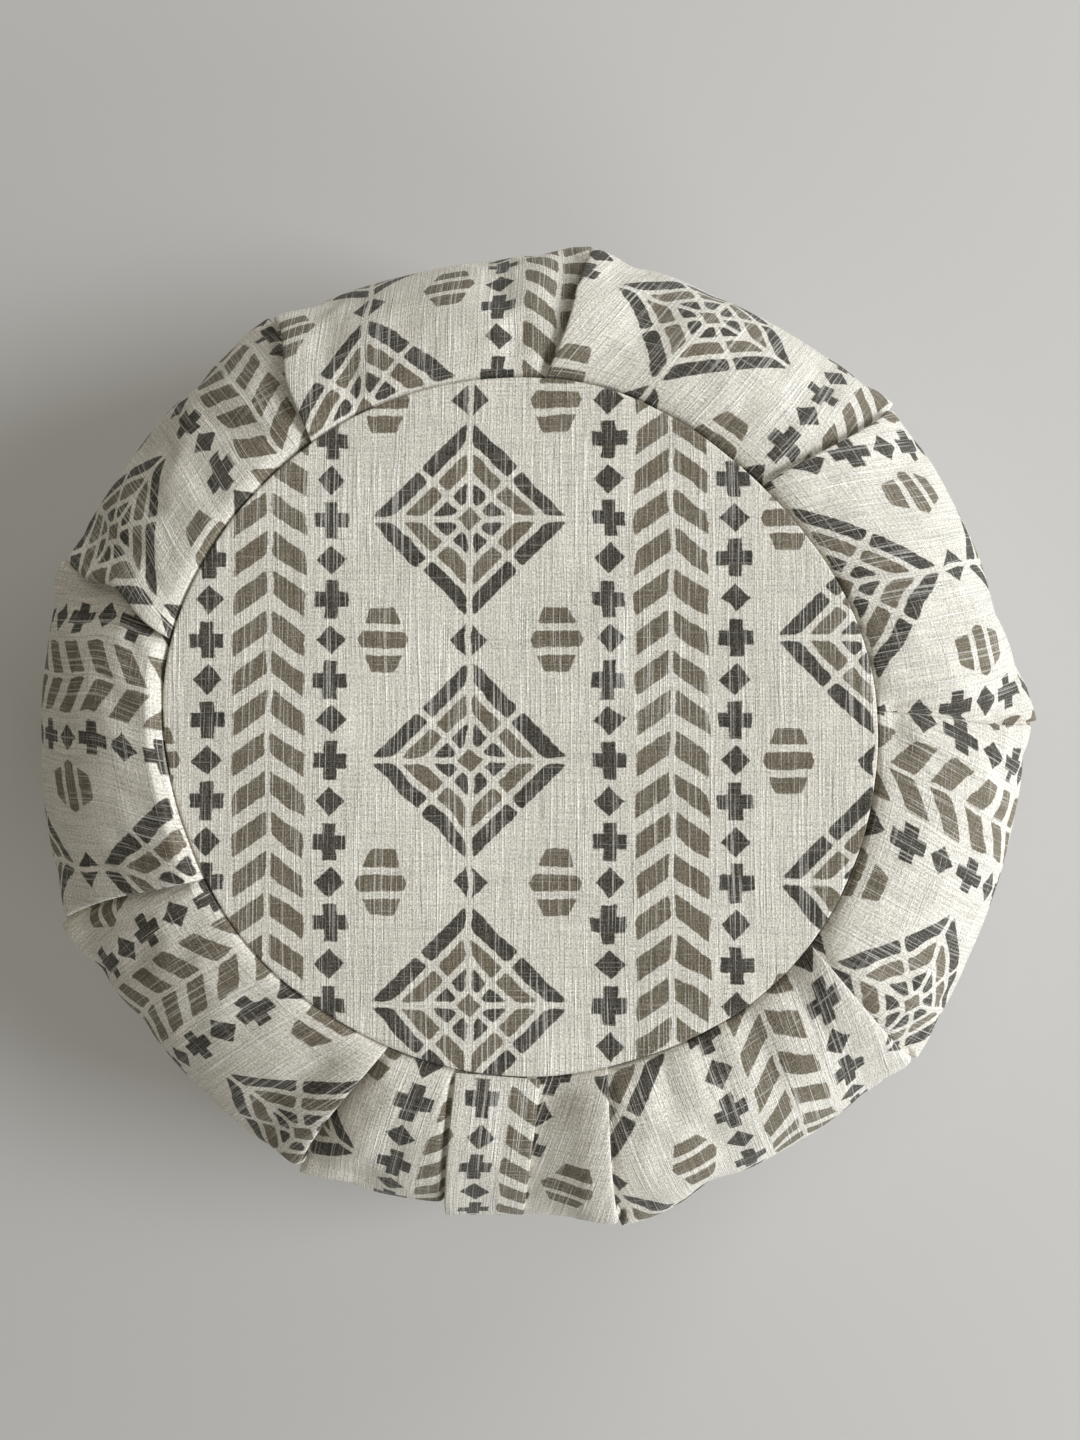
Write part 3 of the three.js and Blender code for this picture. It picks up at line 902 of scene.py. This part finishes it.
def round_panel(name, upper):
    """One round, spun with its hidden inner side, then laid on the filling with its rim rolled down."""
    shape = bmesh.new()
    shares = [k / ROUND_RINGS for k in range(ROUND_RINGS)] + [0.985, 0.9925, 0.9955, 0.998, 1.0]
    line = [shape.verts.new((share, 0, 0)) for share in shares]
    line += [shape.verts.new((share, 0, -1)) for share in (0.994, *shares[-6:0:-3], 0.0)]
    line = [shape.edges.new(pair) for pair in zip(line, line[1:])]
    bmesh.ops.spin(
        shape, geom=shape.verts[:] + line, cent=(0, 0, 0), axis=(0, 0, 1), dvec=(0, 0, 0),
        angle=2 * math.pi, steps=ROUND_STEPS, use_merge=True, use_duplicate=False,
    )
    bmesh.ops.remove_doubles(shape, verts=shape.verts, dist=0.0001)
    for vertex in shape.verts:
        share, inside = math.hypot(vertex.co.x, vertex.co.y), vertex.co.z < -0.5
        angle = math.atan2(vertex.co.y, vertex.co.x)
        seam = seam_radius(angle) - SEAM_GAP
        from_rim = seam * (1 - share)
        radius = seam * share
        x, y = radius * math.cos(angle), radius * math.sin(angle)
        by_rim = math.exp(-((from_rim - 4) / 9) ** 2)
        rolled = RIM_ROLL * (1 - min(1, from_rim / RIM_ROLL_WIDTH)) ** 2
        wave = noise.noise(Vector((x, y, 10 if upper else 90)) / 48)
        tuck = noise.noise(Vector((math.cos(angle), math.sin(angle), 0)) * 9)
        if upper:
            height = SEAM_HIGH + 0.3 + top_rise(share) + 0.7 * wave - rolled
            height += 0.6 * tuck * by_rim - (CLOTH if inside else 0)
        else:
            lifted = SEAM_LOW * max(0, (share - REST_SHARE) / (1 - REST_SHARE)) ** 2
            height = lifted - 0.4 * min(1, lifted) + 0.2 + 0.1 * wave + rolled * 0.6
            height += 0.4 * tuck * min(1, lifted) * by_rim + (CLOTH if inside else 0)
            height = max(height, 0.0)
        vertex.co = Vector((x, y, height)) * MM
    bmesh.ops.recalc_face_normals(shape, faces=shape.faces)
    laid = shape.loops.layers.uv.new("cloth")
    for face in shape.faces:
        face.smooth = True
        for loop in face.loops:
            loop[laid].uv = loop.vert.co.xy
    return plain_mesh(name, shape)


for node, upper, moved in (
    ("top_panel", True, (0.018, 0.011, 0)),
    ("bottom_panel", False, (0.05, 0.03, 0)),
):
    panel = round_panel(node + "_cover", upper)
    panel.data.materials.append(printed_cotton("printed_cotton_" + node, cross=0.4, moved=moved))
    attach(panel, "root")
    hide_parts(node)

# ---------------------------------------------------------------------------------------------------
# Handle
# A strip of the same cotton folded flat to four layers and pressed, with no topstitching. Its ends are
# caught in the two seams, and it lies close against the middle of one panel of the band.
# ---------------------------------------------------------------------------------------------------
STRAP_THICKNESS = 2.0
STRAP_EDGE = 0.7
STRAP_TILT = 0.075
STRAP_ROWS = 72
STRAP_COLUMNS = 12

band_mesh = bmesh.new()
band_mesh.from_mesh(side_band.data)
band_skin = BVHTree.FromBMesh(band_mesh)
band_mesh.free()
strap_turn = np.linspace(-LIP_ANGLE, math.pi + LIP_ANGLE, STRAP_ROWS + 1)
strap_base, strap_out = band_place(STRAP_PANEL, 0.5, strap_turn, STRAP_ANGLE)
side_way = Vector((-math.sin(STRAP_ANGLE), math.cos(STRAP_ANGLE), 0))


def skin_height(row, aside):
    """How far the band's finished cloth stands off its smooth surface, at one place under the strap."""
    base, out = Vector(strap_base[row]), Vector(strap_out[row])
    start = (base + side_way * aside + out * CLEAR) * MM
    hit = band_skin.ray_cast(start, -out, 0.05)
    return CLEAR - hit[3] / MM if hit[0] else 0.0


# It rests on the highest cloth across its width, evened out along its length.
CLEAR = 20.0
EVEN_OVER = 9
strap_height = []
for row in range(STRAP_ROWS + 1):
    strap_height.append(max(skin_height(row, aside) for aside in np.linspace(-10, 13, 9)))
strap_height = np.array(strap_height)
strap_height[:2], strap_height[-2:] = strap_height[2], strap_height[-3]
even = np.ones(EVEN_OVER) / EVEN_OVER
strap_height = np.convolve(np.pad(strap_height, EVEN_OVER // 2, "edge"), even, "valid") + 0.2

shape = bmesh.new()
bmesh.ops.create_cube(shape, size=1.0)
bmesh.ops.scale(shape, vec=(STRAP_SEAM_WIDTH, 1.0, STRAP_THICKNESS), verts=shape.verts)


def edges_along(way):
    """The strap's edges that run its way: 0 across it, 1 along it."""
    return [e for e in shape.edges if abs(e.verts[0].co[way] - e.verts[1].co[way]) > 0.9]


bmesh.ops.bevel(
    shape, geom=edges_along(1), affect="EDGES", offset=STRAP_EDGE, segments=2, profile=0.5, material=-1
)
wide = [e for e in edges_along(0) if abs(e.verts[0].co.x - e.verts[1].co.x) > 20]
bmesh.ops.subdivide_edges(shape, edges=wide, cuts=STRAP_COLUMNS - 1, use_grid_fill=True)
bmesh.ops.subdivide_edges(shape, edges=edges_along(1), cuts=STRAP_ROWS - 1, use_grid_fill=True)
strap_uv = shape.loops.layers.uv.new("cloth")
for face in shape.faces:
    face.smooth = True
    for loop in face.loops:
        x, y, z = loop.vert.co
        loop[strap_uv].uv = ((x + z * 0.5) * MM, (0.5 - y) * STRIP_LENGTH * MM)
rows = range(STRAP_ROWS + 1)
for vertex in shape.verts:
    x, y, z = vertex.co
    row = (0.5 - y) * STRAP_ROWS
    base = [np.interp(row, rows, strap_base[:, k]) for k in range(3)]
    out = [np.interp(row, rows, strap_out[:, k]) for k in range(3)]
    lie = np.interp(row, rows, strap_height)
    middle, width = strap_lie(np.interp(row, rows, strap_turn))
    aside = middle + x / STRAP_SEAM_WIDTH * width + 0.15 * noise.noise(Vector((row * 0.11, 0, 3)))
    lifted = 0.3 * max(0.0, -x / 14) ** 3 - STRAP_TILT * x
    lifted += 0.3 * noise.noise(Vector((x / 14, row * 0.16, 5)))
    lifted *= math.sin(math.pi * min(max(row / STRAP_ROWS, 0), 1)) ** 0.5
    place = Vector(base) + side_way * aside + Vector(out) * (lie + STRAP_THICKNESS / 2 + z + lifted)
    place.z = max(place.z, 0.2)
    vertex.co = place * MM
bmesh.ops.recalc_face_normals(shape, faces=shape.faces)
handle = plain_mesh("handle_strap", shape)
handle.data.materials.append(printed_cotton("printed_cotton_handle", moved=(0.052, 0.02, 0)))
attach(handle, "root")
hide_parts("handle")

# ---------------------------------------------------------------------------------------------------
# Studio light
# A broad soft light from the right, as from a window. Two pale boards send some of it back from the
# front and the back, a weak ceiling light fills in from above, and the room round it is dim and warm.
# ---------------------------------------------------------------------------------------------------
world = bpy.data.worlds.new("room")
bpy.context.scene.world = world
world.use_nodes = True
world.node_tree.nodes["Background"].inputs["Color"].default_value = (1.0, 0.955, 0.85, 1.0)
world.node_tree.nodes["Background"].inputs["Strength"].default_value = 0.15


def soft_light(name, place, size, power, tint):
    """A rectangle of soft light that faces the middle of the cushion."""
    light = bpy.data.lights.new(name, "AREA")
    light.shape = "RECTANGLE"
    light.size, light.size_y = size
    light.energy = power
    light.color = tint
    lamp = bpy.data.objects.new(name, light)
    bpy.context.scene.collection.objects.link(lamp)
    lamp.location = place
    lamp.rotation_euler = (LIT_SPOT - Vector(place)).to_track_quat("-Z", "Y").to_euler()


LIT_SPOT = Vector((0, 0, 0.06))
soft_light("window", (2.83, -0.05, 1.59), (1.6, 0.95), 86, (0.95, 0.985, 1.045))
soft_light("front_board", (1.8, -2.0, 0.95), (1.2, 0.9), 23, (0.96, 0.985, 1.03))
soft_light("back_board", (1.8, 2.0, 0.95), (1.2, 0.9), 22, (0.96, 0.985, 1.03))
soft_light("ceiling", (-0.2, 0.3, 1.6), (1.2, 1.2), 4.5, (1.0, 0.96, 0.87))
